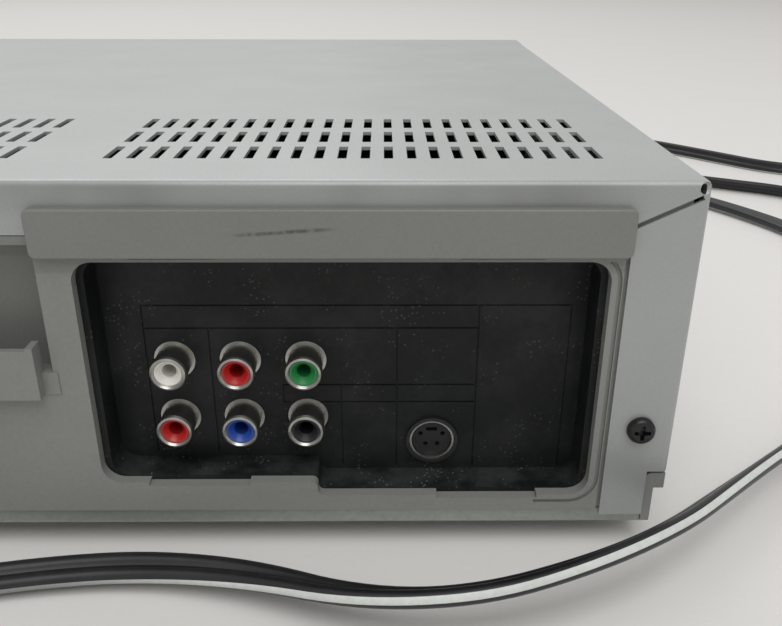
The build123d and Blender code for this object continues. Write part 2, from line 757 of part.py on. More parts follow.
def clamp_bridge():
    reach = tray_width / 2 + slide_gap + loader_rail
    bridge = block((disc_x - reach, disc_x + reach), bridge_y, (bridge_low, bridge_low + 1.5))
    for side in (-1, 1):
        edges = sorted((disc_x + side * reach, disc_x + side * (reach - loader_rail)))
        bridge += block(edges, bridge_y, (tray_top + 2.0, bridge_low + 0.1))
    return bridge - rod_z(disc_x, disc_y, bridge_low - 1, bridge_low + 3, 8.6)


def clamper():
    plate = rod_z(disc_x, disc_y, tray_top + 1.2, bridge_low - 0.6, 16.0)
    neck = rod_z(disc_x, disc_y, bridge_low - 0.7, bridge_low + 2.0, 8.0)
    return plate + neck + rod_z(disc_x, disc_y, bridge_low + 1.8, bridge_low + 3.0, 12.0)


def optical_sled():
    y = (sled_start, sled_start + sled_length)
    low = loader_top + 1.0
    sled = block((disc_x - 19, disc_x + 19), y, (low, low + 5.0))
    nut_x = (disc_x + 18, disc_x + screw_place - rod_radius - slide_gap)
    sled += block(nut_x, (y[0] + 8, y[0] + 16), (low, low + 4.0))
    sled += rod_z(disc_x, y[0] + 12, low + 4, low + 5.7, 3.2)
    for place in (-rod_place, rod_place):
        sled -= rod_y(disc_x + place, rod_z_place, y[0] - 1, y[1] + 1, rod_radius + pin_gap)
    return sled


def guide_rods():
    ends = (lug_y[0], lug_y[1] + lug_thick)
    return [rod_y(disc_x + place, rod_z_place, *ends, rod_radius) for place in (-rod_place, rod_place)]


def lead_screw():
    return rod_y(disc_x + screw_place, rod_z_place, lug_y[0], lug_y[1] + lug_thick + 3, rod_radius)


# ---------------------------------------------------------------- cassette drive
reel_places = {"supply": (tape_x - 46.0, -45.0), "take_up": (tape_x + 46.0, -45.0)}
capstan_place = (tape_x + 52.0, 30.0)
pinch_pivot = (tape_x + 72.0, 46.0)
pinch_arm_length = 16.0
pinch_swing = 35.0
pinch_radius = 7.0
shaft_radius = 2.0
reel_low = deck_top + 0.4
holder_pin_y = holder_front + 20.0
holder_pin_z = holder_top - 7.0


def tape_deck():
    outer = frame_half + slide_wall
    y = (holder_front - 1.0, deck_rear)
    deck = block((tape_x - outer, tape_x + outer), y, (deck_floor, deck_top))
    for side in (-1, 1):
        edges = sorted((tape_x + side * frame_half, tape_x + side * outer))
        deck += block(edges, (y[0], holder_back + holder_travel + 6), (deck_floor, holder_top + 1))
        for post_y in (y[0] + 14, deck_rear - 12):
            deck += rod_z(tape_x + side * (outer - 8), post_y, pan_top, deck_floor + 0.1, 4.0)
    for x, y_reel in reel_places.values():
        deck += rod_z(x, y_reel, deck_top - 0.1, deck_top + 9.0, shaft_radius)
    deck += rod_z(*pinch_pivot, deck_top - 0.1, deck_top + 14.0, shaft_radius)
    for x, y_post in ((-44.0, 38.0), (-62.0, 20.0), (38.0, 20.0), (66.0, 18.0)):
        deck += rod_z(tape_x + x, y_post, deck_top - 0.1, deck_top + 24.0, 2.6)
    deck += rod_z(*capstan_place, deck_top - 0.1, deck_top + 6.0, 5.0)
    return deck - rod_z(*capstan_place, deck_floor - 1, deck_top + 7.0, shaft_radius + pin_gap)


def drum_base():
    base = rod_z(tape_x, drum_y, deck_top, deck_top + 15.0, drum_radius)
    return base - rod_z(tape_x, drum_y, deck_top + 3.0, deck_top + 16.0, 3.0 + pin_gap)


def head_drum():
    low = deck_top + 15.4
    drum = rod_z(tape_x, drum_y, low, low + 14.0, drum_radius)
    drum = chamfer(drum.edges().sort_by(Axis.Z)[-1], 0.8)
    drum -= rod_z(tape_x, drum_y, low + 11.0, low + 15.0, drum_radius - 8.0)
    return drum + rod_z(tape_x, drum_y, deck_top + 5.0, low + 12.0, 3.0)


def capstan():
    shaft = rod_z(*capstan_place, deck_floor - 7.0, deck_top + 26.0, shaft_radius)
    return shaft + rod_z(*capstan_place, deck_floor - 7.0, deck_floor - 1.0, 18.0)


def pinch_arm():
    """Lever with its rubber roller, swung away from the capstan."""
    towards = math.atan2(capstan_place[1] - pinch_pivot[1], capstan_place[0] - pinch_pivot[0])
    angle = towards + math.radians(pinch_swing)
    roller_x = pinch_pivot[0] + pinch_arm_length * math.cos(angle)
    roller_y = pinch_pivot[1] + pinch_arm_length * math.sin(angle)
    low = deck_top + 7.0
    lever = block((0, pinch_arm_length), (-3, 3), (0, 2.0))
    arm = Pos(*pinch_pivot, low) * Rot(0, 0, math.degrees(angle)) * lever
    arm += rod_z(*pinch_pivot, deck_top + 0.3, low + 2.0, 4.5)
    arm += rod_z(roller_x, roller_y, low, low + 18.0, 1.8)
    arm -= rod_z(*pinch_pivot, deck_top - 1, low + 3, shaft_radius + pin_gap)
    roller = rod_z(roller_x, roller_y, low + 3.0, low + 16.0, pinch_radius)
    return [arm, roller - rod_z(roller_x, roller_y, low, low + 20, 1.8 + pin_gap)]


def reel_table(x, y):
    table = rod_z(x, y, reel_low, reel_low + 2.0, 21.0)
    table += rod_z(x, y, reel_low + 1.9, reel_low + 13.0, 5.2)
    for spline in range(3):
        rib = block((4.5, 7.4), (-0.8, 0.8), (0, 9.0))
        table += Pos(x, y, reel_low + 1.9) * Rot(0, 0, 120 * spline) * rib
    return table - rod_z(x, y, reel_low - 1, reel_low + 9.4, shaft_radius + pin_gap)


def tape_heads():
    erase = block((tape_x - 58, tape_x - 48), (24, 31), (deck_top, deck_top + 24))
    sound = block((tape_x + 38, tape_x + 46), (38, 45), (deck_top, deck_top + 24))
    return [fillet(piece.edges().filter_by(Axis.Z), 1.5) for piece in (erase, sound)]


def holder_slides():
    """Side carriages that carry the holder in, with slots for its pins."""
    pieces = []
    for side in (-1, 1):
        edges = sorted((tape_x + side * (slide_half - slide_wall), tape_x + side * slide_half))
        plate = block(edges, (holder_front + 4, holder_front + 36), (holder_low - 6, holder_top - 1))
        slot = block((edges[0] - 1, edges[1] + 1), (holder_pin_y - 1.8, holder_pin_y + 1.8),
                     (holder_pin_z - holder_drop - 1.8, holder_pin_z + 1.8))
        pieces.append(plate - slot)
    return pieces


def tape_holder():
    """Open-fronted holder that takes the cassette."""
    y = (holder_front, holder_back)
    x = (tape_x - holder_half, tape_x + holder_half)
    holder = block(x, y, (holder_top - holder_wall, holder_top))
    holder -= block((tape_x - 60, tape_x + 60), (y[0] + 10, y[1] - 10), (holder_top - 3, holder_top + 1))
    for side in (-1, 1):
        outer = tape_x + side * holder_half
        inner = tape_x + side * (holder_half - holder_wall)
        ledge = tape_x + side * (holder_half - 11.0)
        stop = tape_x + side * (holder_half - 22.0)
        holder += block(sorted((outer, inner)), y, (holder_low, holder_top))
        holder += block(sorted((outer, ledge)), y, (holder_low, holder_low + holder_wall))
        holder += block(sorted((inner - side, stop)), (y[1] - 1.0, y[1]), (holder_top - 12, holder_top))
        pin = sorted((inner, outer + side * (slide_gap + slide_wall)))
        holder += rod_x(holder_pin_y, holder_pin_z, pin[0], pin[1], 1.5)
    return holder


def cassette_flap():
    x = (tape_x - flap_half, tape_x + flap_half)
    z = (flap_top - flap_height, flap_top)
    points = [(x[0], z[0]), (x[1], z[0]), (x[1], z[1]), (x[0], z[1])]
    flap = outline_y(points, [1.5] * 4, y_front + 0.5, y_plate - 0.2)
    y_axis, z_axis = flap_axis
    for side in (-1, 1):
        ear = sorted((tape_x + side * (flap_half - 1), tape_x + side * (flap_half - 5)))
        flap += block(ear, (y_plate - 0.3, y_axis + 1.2), (z_axis - 1.2, z_axis + 0.9))
        pin = sorted((tape_x + side * (flap_half - 2), tape_x + side * (flap_half + 3)))
        flap += rod_x(y_axis, z_axis, pin[0], pin[1], 1.1)
    return flap


# ---------------------------------------------------------------- front
window_x = (-150.0, -20.0)
window_z = (16.0, 38.0)


def keys():
    """Name, middle X, middle Z, width and height of each key."""
    places = [("power_key", -196.0, tray_face_z, 14.0, 14.0), ("open_key", -22.5, tray_face_z, 20.0, 10.0)]
    names = ("play_key", "stop_key", "rewind_key", "forward_key", "record_key", "eject_key")
    for index, name in enumerate(names):
        places.append((name, 22.0 + 31.0 * index, 27.0, 26.0, 9.0))
    return places


def key_outline(x, z, wide, high, y0, y1):
    points = [(x - wide / 2, z - high / 2), (x + wide / 2, z - high / 2),
              (x + wide / 2, z + high / 2), (x - wide / 2, z + high / 2)]
    return outline_y(points, [2.0] * 4, y0, y1)


def key(x, z, wide, high):
    cap = key_outline(x, z, wide, high, y_front - key_proud, y_plate + slide_gap)
    cap = fillet(cap.faces().sort_by(Axis.Y)[0].edges(), 0.5)
    cap += key_outline(x, z, wide + 2.6, high + 2.6, y_plate + slide_gap, y_plate + slide_gap + 1.2)
    stem_end = jack_board_y - switch_depth - key_travel - slide_gap
    return cap + rod_y(x, z, y_plate + slide_gap + 1, stem_end, 1.6)


def front_board():
    y = (jack_board_y, jack_board_y + board_thick)
    board = block((-206.0, 206.0), y, (10.0, front_board_top))
    for x, z, wide in ((-196.0, tray_face_z, 20.0), (-22.5, tray_face_z, 20.0)):
        board += block((x - wide / 2, x + wide / 2), y, (10.0, z + 8))
    for _, x, z, _, _ in keys():
        board += block((x - 3, x + 3), (jack_board_y - switch_depth, jack_board_y + 0.1), (z - 3, z + 3))
    return board


def display_tube():
    x = (window_x[0] + 6, window_x[1] - 6)
    return block(x, (y_plate + 2.4, jack_board_y), (window_z[0] + 3, window_z[1] - 3))


def board_bosses():
    return [(-206.0 + 8, 14.0), (-10.0, 14.0), (198.0, 14.0), (-160.0, 32.0), (-10.0, 33.0), (202.0, 33.0)]


def front_bezel():
    z = (z_low + slide_gap, z_top - 0.4)
    bezel = block((-half, half), (y_front, bezel_back), z)
    rim = bezel.faces().sort_by(Axis.Y)[0].edges()
    bezel = fillet(rim, 2.8)
    inner = block((-half + 2.5, half - 2.5), (y_plate, bezel_back + 1), (z[0] + 2.5, z[1] - 2.5))
    bezel -= inner
    gap = slide_gap
    wall = (y_front - 1, y_plate + 1)
    bezel -= key_outline(disc_x, tray_face_z, face_size[0] + 2 * gap, face_size[1] + 2 * gap, *wall)
    flap_z = flap_top - flap_height / 2
    bezel -= key_outline(tape_x, flap_z, 2 * flap_half + 2 * gap, flap_height + 4 * gap, *wall)
    for _, x, key_z, wide, high in keys():
        bezel -= key_outline(x, key_z, wide + 2 * gap, high + 2 * gap, *wall)
    for x, jack_z, _ in front_jacks():
        bezel -= rod_y(x, jack_z, y_front - 1, y_plate + 1, jack_radius + 0.4)
    bezel -= block(window_x, (y_front - 1, y_plate + 1), window_z)
    for x, boss_z in board_bosses():
        bezel += rod_y(x, boss_z, y_plate - 0.1, jack_board_y, 2.5)
    y_axis, z_axis = flap_axis
    for side in (-1, 1):
        lug = sorted((tape_x + side * (flap_half + 0.5), tape_x + side * (flap_half + 3.2)))
        bezel += block(lug, (y_plate - 0.1, y_axis + 2.5), (z_axis - 2.6, z_axis + 2.6))
        bore = sorted((tape_x + side * (flap_half - 0.5), tape_x + side * (flap_half + 4)))
        bezel -= rod_x(y_axis, z_axis, bore[0], bore[1], 1.1 + pin_gap)
    return bezel


def display_window():
    gap = 0.15
    x = (window_x[0] + gap, window_x[1] - gap)
    z = (window_z[0] + gap, window_z[1] - gap)
    pane = block(x, (y_front + 0.4, y_plate), z)
    rim = block((x[0] - 2, x[1] + 2), (y_plate, y_plate + 1.0), (z[0] - 2, z[1] + 2))
    return pane + rim


# ---------------------------------------------------------------- mains lead
relief_end = y_back + relief_length
lead_z = cord_width / 2 + 0.1
route = [
    (relief_x, relief_end, relief_z),
    (relief_x, relief_end + 27.0, relief_z),
    (179.5, 211.0, 14.5),
    (158.5, 229.0, 8.0),
    (121.0, 230.0, lead_z),
    (62.0, 200.0, lead_z),
    (-2.0, 165.0, lead_z),
    (-62.0, 146.0, lead_z),
    (-110.0, 143.0, 5.0),
    (-158.0, 164.0, 10.0),
    (-206.0, 150.0, 14.0),
    (-240.0, 120.0, 11.0),
    (-284.0, 79.0, lead_z),
    (-326.0, 34.0, lead_z),
    (-354.0, -22.0, lead_z),
    (-355.0, -82.0, lead_z),
    (-331.0, -138.0, lead_z),
    (-296.0, -182.0, lead_z),
    (-262.0, -222.0, lead_z),
    (-256.0, -263.0, lead_z),
    (-283.0, -294.0, lead_z),
    (-325.0, -292.0, lead_z),
    (-360.0, -254.0, lead_z),
    (-394.0, -212.0, lead_z),
    (-437.0, -206.0, lead_z),
    (-468.0, -181.0, lead_z),
    (-472.0, -140.0, lead_z),
    (-440.0, -111.0, lead_z),
    (-400.0, -119.5, lead_z),
    (-382.0, -160.0, lead_z),
    (-346.0, -180.0, lead_z),
    (-312.0, -199.0, lead_z),
    (-297.0, -232.0, lead_z),
]


def corner_radii(points):
    """Radius of each rounded corner: 0.45 of the shorter run over the tangent of half the turn."""
    radii = []
    for before, corner, after in zip(points, points[1:], points[2:]):
        run_in = Vector(*corner) - Vector(*before)
        run_out = Vector(*after) - Vector(*corner)
        turn = math.radians(run_in.get_angle(run_out))
        radii.append(0.45 * min(run_in.length, run_out.length) / math.tan(turn / 2))
    return radii


def mains_lead():
    radii = corner_radii(route)
    print("lead radii", [round(radius, 1) for radius in radii])
    path = FilletPolyline(*route, radius=radii)
    section = Plane(origin=path @ 0, z_dir=path % 0) * Circle(cord_width / 2)
    tube = sweep(section, path=path)
    expected = math.pi * cord_width ** 2 / 4 * path.length
    print("lead length", round(path.length, 1), "volume ratio", round(tube.volume / expected, 5))
    return tube


def strain_relief():
    """Tapered bush held by the panel's edge."""
    y0 = y_back - plate_thick
    flange = relief_neck + 2.0
    clip = [(0, y0 - 2.0), (flange - 0.6, y0 - 2.0), (flange - 0.6, y0 - 0.2), (relief_neck, y0 - 0.2)]
    collar = [(relief_neck, y_back + 0.1), (flange, y_back + 0.1), (flange, y_back + 1.8)]
    taper = [(relief_neck, y_back + 2.2), (cord_width / 2 + 0.5, relief_end), (0, relief_end)]
    return Pos(relief_x, 0, relief_z) * turned(clip + collar + taper)


def plug():
    """Two-pin mains plug at the lead's end, flat blades along the lead's last direction."""
    last = Vector(*route[-1])
    heading = (last - Vector(*route[-2])).normalized()
    turn = math.degrees(math.atan2(heading.Y, heading.X))
    body = block((0, plug_length), (-12.0, 12.0), (-lead_z + 0.1, 10.0))
    body = fillet(body.edges().filter_by(Axis.X), 4.0)
    for side in (-1, 1):
        across = (side * 6.35 - 0.75, side * 6.35 + 0.75)
        body += block((plug_length - 0.5, plug_length + 17.0), across, (0.0, 6.3))
    return Pos(*route[-1]) * Rot(0, 0, turn) * body


# ---------------------------------------------------------------- write the parts
save("top_cover", top_cover())
save("chassis_pan", chassis_pan())
save("front_bezel", front_bezel())
save("rear_panel", rear_panel())
save("jack_panel", jack_panel())
save("corner_hooks", corner_hooks())
save("case_screws", case_screws())
save("feet", feet())
save("jack_shells", placed_jacks(jack_shell()))
for jack_colour in ("white", "red", "green", "blue", "yellow"):
    save(f"jack_{jack_colour}", placed_jacks(jack_insert(), jack_colour))
save("jack_blocks", jack_blocks())
save("din_shell", din_shell())
save("din_core", din_core())
save("tuner", tuner())
save("main_board", main_board())
save("power_board", power_board())
save("transformer", transformer())
save("capacitors", capacitors())
save("heat_sink", heat_sink())
save("loader_frame", loader_frame())
save("disc_tray", disc_tray())
save("tray_face", tray_face())
save("tray_pinion", tray_pinion())
save("tray_motor", motor(pinion_x, pinion_y, 10.0, 2.0))
save("spindle_motor", motor(disc_x, disc_y, 13.0, 1.5))
save("turntable", turntable())
save("clamp_bridge", clamp_bridge())
save("clamper", clamper())
save("optical_sled", optical_sled())
save("guide_rods", guide_rods())
save("lead_screw", lead_screw())
save("tape_deck", tape_deck())
save("drum_base", drum_base())
save("head_drum", head_drum())
save("capstan", capstan())
save("pinch_arm", pinch_arm())
for reel, place in reel_places.items():
    save(f"{reel}_reel", reel_table(*place))
save("tape_heads", tape_heads())
save("holder_slides", holder_slides())
save("tape_holder", tape_holder())
save("cassette_flap", cassette_flap())
for key_name, key_x, key_z, key_wide, key_high in keys():
    save(key_name, key(key_x, key_z, key_wide, key_high))
save("front_board", front_board())
save("display_window", display_window())
save("display_tube", display_tube())
save("strain_relief", strain_relief())
save("mains_lead", mains_lead())
save("plug", plug())
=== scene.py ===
# %% [markdown]
# # A disc and video-cassette player, seen from behind
# The steel case, the sockets, the drives and the keys arrive as finished solids, each in its true place.
# This lesson gives them their looks: paint, plating, moulded plastic, dust and wear, and a flat mains lead.
# Everything is in metres, with +Z up, the front towards -Y and the feet on Z = 0.

# %% Load the frame
import math
import bpy
from mathutils import Matrix, Vector


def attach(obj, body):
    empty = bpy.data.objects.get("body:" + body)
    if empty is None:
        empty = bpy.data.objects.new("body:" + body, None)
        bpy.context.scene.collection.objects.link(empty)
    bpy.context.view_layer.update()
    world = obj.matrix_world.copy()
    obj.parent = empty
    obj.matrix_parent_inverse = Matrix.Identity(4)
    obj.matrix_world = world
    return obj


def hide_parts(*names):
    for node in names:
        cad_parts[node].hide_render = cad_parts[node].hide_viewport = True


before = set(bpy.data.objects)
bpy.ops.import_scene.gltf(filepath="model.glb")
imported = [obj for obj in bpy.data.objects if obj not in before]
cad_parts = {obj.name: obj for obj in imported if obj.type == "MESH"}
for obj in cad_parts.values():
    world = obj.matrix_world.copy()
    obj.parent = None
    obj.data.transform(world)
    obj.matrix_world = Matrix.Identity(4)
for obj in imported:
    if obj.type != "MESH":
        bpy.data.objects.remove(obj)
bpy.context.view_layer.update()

# %% [markdown]
# ## Camera
# The picture is taken from close behind the right-hand corner, a little above the case and looking down.
# A camera could be aimed with a constraint, but three plain turns are easier to read: tilt, heading and roll.
# The lens is worked out from the focal length in pixels, because that is how a photograph is measured.

# %% Camera
image_width = 782
sensor = 0.036
focal_pixels = 833.5
camera_data = bpy.data.cameras.new("camera")
camera_data.sensor_width = sensor * 1000
camera_data.lens = focal_pixels / image_width * camera_data.sensor_width
camera_data.clip_start = 0.01
camera = bpy.data.objects.new("camera", camera_data)
bpy.context.scene.collection.objects.link(camera)
camera_place = Vector((-0.1505, 0.2894, 0.1299))
look_down = math.radians(23.9)
heading = math.radians(180 - 0.624)
roll = math.radians(0.19)
turn = Matrix.Rotation(heading, 4, "Z") @ Matrix.Rotation(math.pi / 2 - look_down, 4, "X")
camera.matrix_world = Matrix.Translation(camera_place) @ turn @ Matrix.Rotation(roll, 4, "Z")
bpy.context.scene.camera = camera
bpy.context.scene.view_settings.view_transform = "Standard"
print("lens", round(camera_data.lens, 2), "mm")

# %% [markdown]
# ## Light and table
# The player stands on a pale table in soft daylight that comes from beyond it, so its rear is the shaded side.
# One large lamp stands for the window, a second one above the near side for the light that the room gives back,
# and the world fills the shade. Lamps of more than a metre keep the shadows soft. The table is one big plate;
# it isn't part of the player.

# %% Light and table
def srgb(red, green, blue):
    """A colour read off a screen, 0 to 255, as the linear colour that a shader wants."""
    def linear(value):
        value = value / 255
        return value / 12.92 if value <= 0.04045 else ((value + 0.055) / 1.055) ** 2.4
    return (linear(red), linear(green), linear(blue), 1.0)


world = bpy.data.worlds.new("daylight")
bpy.context.scene.world = world
world.use_nodes = True
world.node_tree.nodes["Background"].inputs["Color"].default_value = (1.0, 0.995, 0.98, 1.0)
world.node_tree.nodes["Background"].inputs["Strength"].default_value = 0.55


def soft_lamp(name, place, aim, size, watts):
    """A square lamp that faces a point."""
    data = bpy.data.lights.new(name, "AREA")
    data.size = size
    data.energy = watts
    lamp = bpy.data.objects.new(name, data)
    bpy.context.scene.collection.objects.link(lamp)
    lamp.location = place
    lamp.rotation_euler = (Vector(aim) - Vector(place)).to_track_quat("-Z", "Y").to_euler()
    return lamp


soft_lamp("window", (0.5, -1.5, 1.7), (-0.1, 0.0, 0.0), 1.8, 13.0)
soft_lamp("room", (-0.25, 0.8, 1.4), (-0.12, 0.3, 0.0), 1.2, 12.0)


def clear_selection():
    """Leave nothing selected, so that the next operator acts on the new piece alone."""
    for thing in bpy.context.selected_objects:
        thing.select_set(False)


clear_selection()
bpy.ops.mesh.primitive_plane_add(size=12.0, location=(0, 0, 0))
table = bpy.context.active_object
table.name = "table"
print("lamps and table ready")

# %% [markdown]
# ## Tools for finishes
# Every finish here is a Principled shader fed by small node groups. A group is an effect with named sockets:
# it is drawn once and then placed in each material with that material's own values. The patterns read Object
# coordinates, so they stay on the piece and have real sizes, in metres.

# %% Node helpers
def add_node(tree, kind, **settings):
    """A node of that kind; names that are sockets are set there, and others on the node itself."""
    made = tree.nodes.new(kind)
    for name, value in settings.items():
        socket = name.replace("_", " ")
        if socket in made.inputs:
            made.inputs[socket].default_value = value
        else:
            setattr(made, name, value)
    return made


def new_group(name, inputs, outputs):
    """An empty node group with its sockets; gives back the group and its two ends."""
    group = bpy.data.node_groups.new(name, "ShaderNodeTree")
    for label, kind, value in inputs:
        socket = group.interface.new_socket(name=label, in_out="INPUT", socket_type="NodeSocket" + kind)
        socket.default_value = value
    for label, kind in outputs:
        group.interface.new_socket(name=label, in_out="OUTPUT", socket_type="NodeSocket" + kind)
    return group, group.nodes.new("NodeGroupInput"), group.nodes.new("NodeGroupOutput")


def object_place(tree):
    """The socket that gives a point's place on the piece, in metres."""
    return add_node(tree, "ShaderNodeTexCoord").outputs["Object"]


def sum_node(tree, operation, first, second):
    """A Math node on two sockets or numbers; gives back its result."""
    made = add_node(tree, "ShaderNodeMath", operation=operation)
    for slot_number, value in enumerate((first, second)):
        if isinstance(value, (int, float)):
            made.inputs[slot_number].default_value = value
        else:
            tree.links.new(value, made.inputs[slot_number])
    return made.outputs[0]


def blend_node(tree, factor, first, second):
    """Two colours mixed by a factor; sockets or plain colours."""
    made = add_node(tree, "ShaderNodeMix", data_type="RGBA")
    for slot_number, value in ((0, factor), (6, first), (7, second)):
        if isinstance(value, (int, float, tuple)):
            made.inputs[slot_number].default_value = value
        else:
            tree.links.new(value, made.inputs[slot_number])
    return made.outputs[2]


def step_node(tree, value, low, high, first=0.0, last=1.0):
    """A smooth step from first to last while the value goes from low to high."""
    made = add_node(tree, "ShaderNodeMapRange", interpolation_type="SMOOTHSTEP")
    for slot_number, number in ((1, low), (2, high), (3, first), (4, last)):
        made.inputs[slot_number].default_value = number
    tree.links.new(value, made.inputs[0])
    return made.outputs[0]


def place_axes(tree):
    """X, Y and Z of a point on the piece, in metres, as sockets."""
    split = add_node(tree, "ShaderNodeSeparateXYZ")
    tree.links.new(object_place(tree), split.inputs[0])
    return split.outputs


def shader_of(material):
    """The material's Principled node."""
    return material.node_tree.nodes["Principled BSDF"]


def repaint(material, factor, colour):
    """Blend a finished material's colour towards another one, by a factor."""
    paint = shader_of(material).inputs["Base Color"]
    mixed = blend_node(material.node_tree, factor, paint.links[0].from_socket, colour)
    material.node_tree.links.new(mixed, paint)


print("helpers ready")

# %% [markdown]
# ## Grain
# Moulded plastic and powder paint are never smooth: a fine grain scatters the light. The grain could be a
# texture image, but noise at a real size costs nothing and never repeats. The group gives the noise itself,
# for colour, and the bumped normal.

# %% Grain group
grain_group, ends_in, ends_out = new_group(
    "grain",
    [("Scale", "Float", 1500.0), ("Depth", "Float", 0.00003), ("Strength", "Float", 0.3)],
    [("Value", "Float"), ("Normal", "Vector")])
noise = add_node(grain_group, "ShaderNodeTexNoise", Detail=3.0, Roughness=0.6)
grain_group.links.new(object_place(grain_group), noise.inputs["Vector"])
grain_group.links.new(ends_in.outputs["Scale"], noise.inputs["Scale"])
bump = add_node(grain_group, "ShaderNodeBump")
grain_group.links.new(noise.outputs[0], bump.inputs["Height"])
grain_group.links.new(ends_in.outputs["Strength"], bump.inputs["Strength"])
grain_group.links.new(ends_in.outputs["Depth"], bump.inputs["Distance"])
grain_group.links.new(noise.outputs[0], ends_out.inputs["Value"])
grain_group.links.new(bump.outputs[0], ends_out.inputs["Normal"])
print("group", grain_group.name)

# %% [markdown]
# ## Dust
# Dust lies thickest on what faces up and gathers in patches, with single specks where it is thin. The group
# looks at how far the surface faces up and adds noise at two sizes. It only gives a mask, and each material
# decides what colour its dust has.

# %% Dust group
dust_group, ends_in, ends_out = new_group(
    "settled_dust",
    [("Film", "Float", 0.3), ("Specks", "Float", 0.5)],
    [("Mask", "Float")])
place = object_place(dust_group)
patches = add_node(dust_group, "ShaderNodeTexNoise", Scale=60.0, Detail=6.0, Roughness=0.65)
specks = add_node(dust_group, "ShaderNodeTexVoronoi", Scale=900.0, Randomness=1.0)
thick = add_node(dust_group, "ShaderNodeTexNoise", Scale=160.0, Detail=2.0)
for texture in (patches, specks, thick):
    dust_group.links.new(place, texture.inputs["Vector"])
facing = add_node(dust_group, "ShaderNodeNewGeometry")
up = add_node(dust_group, "ShaderNodeSeparateXYZ")
dust_group.links.new(facing.outputs["Normal"], up.inputs[0])
upward = step_node(dust_group, up.outputs["Z"], -0.3, 0.9, 0.25, 1.0)
film = step_node(dust_group, patches.outputs[0], 0.4, 0.68)
film = sum_node(dust_group, "MULTIPLY", film, ends_in.outputs["Film"])
dots = step_node(dust_group, specks.outputs["Distance"], 0.14, 0.3, 1.0, 0.0)
dots = sum_node(dust_group, "MULTIPLY", dots, step_node(dust_group, thick.outputs[0], 0.5, 0.62))
dots = sum_node(dust_group, "MULTIPLY", dots, ends_in.outputs["Specks"])
total = sum_node(dust_group, "MULTIPLY", sum_node(dust_group, "MAXIMUM", film, dots), upward)
dust_group.links.new(total, ends_out.inputs["Mask"])
print("group", dust_group.name)

# %% [markdown]
# ## One maker of plain finishes
# Most pieces want the same recipe: a colour that drifts a little from place to place, a grain, a gloss that
# varies with the grain, and maybe dust. One function that takes those as values keeps them alike where they
# should be alike. Values that are the same all over are set straight on the shader.

# %% Finish maker
finishes = {}


def finish(name, colour, roughness, metallic=0.0, scale=1500.0, depth=0.00003, drift=0.12, dust=None, coat=0.0):
    """A Principled material with drifting colour, grain and, where given, (film, specks, colour) dust."""
    material = bpy.data.materials.new(name)
    material.use_nodes = True
    tree = material.node_tree
    shader = tree.nodes["Principled BSDF"]
    shader.inputs["Metallic"].default_value = metallic
    shader.inputs["Coat Weight"].default_value = coat
    grain = add_node(tree, "ShaderNodeGroup", node_tree=grain_group, Scale=scale, Depth=depth)
    tree.links.new(grain.outputs["Normal"], shader.inputs["Normal"])
    wander = add_node(tree, "ShaderNodeTexNoise", Scale=35.0, Detail=4.0)
    tree.links.new(object_place(tree), wander.inputs["Vector"])
    shade = tuple(value * (1 - drift) for value in colour[:3]) + (1.0,)
    light = tuple(min(1.0, value * (1 + drift)) for value in colour[:3]) + (1.0,)
    mixed = sum_node(tree, "ADD", sum_node(tree, "MULTIPLY", grain.outputs["Value"], 0.6),
                     sum_node(tree, "MULTIPLY", wander.outputs[0], 0.4))
    surface = blend_node(tree, step_node(tree, mixed, 0.3, 0.7), shade, light)
    gloss = step_node(tree, mixed, 0.3, 0.7, roughness * 1.12, roughness * 0.9)
    if dust:
        film_amount, speck_amount, dust_colour = dust
        settled = add_node(tree, "ShaderNodeGroup", node_tree=dust_group, Film=film_amount, Specks=speck_amount)
        surface = blend_node(tree, settled.outputs["Mask"], surface, dust_colour)
        gloss = sum_node(tree, "MAXIMUM", gloss, sum_node(tree, "MULTIPLY", settled.outputs["Mask"], 0.9))
    tree.links.new(surface, shader.inputs["Base Color"])
    tree.links.new(gloss, shader.inputs["Roughness"])
    finishes[name] = material
    return material


def wear(material, *nodes):
    """Give CAD nodes this material."""
    for node in nodes:
        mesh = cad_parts[node].data
        mesh.materials.clear()
        mesh.materials.append(material)


laminate = finish("table_laminate", srgb(226, 224, 221), 0.6, scale=500.0, depth=0.00001, drift=0.01)
table.data.materials.append(laminate)
print("finish maker ready")

# %% [markdown]
# ## The mains lead
# A two-core mains lead is flat: two round cores side by side, one with a pale rib that marks it. It leaves
# the rear at the far side, runs along behind the player, lifts a little over the near corner and lies in loose
# loops beyond it. A curve with a bevel can only be one colour, so the lead is a tube that is swept along points
# read from a smooth NURBS line. The rib is a strip of faces with its own material, greyed by painted shade
# along the far-side stretch, where it lies turned to the shaded side of the lead.

# %% The lead's line
def millimetres(*values):
    """Millimetres as metres."""
    return tuple(value / 1000 for value in values)


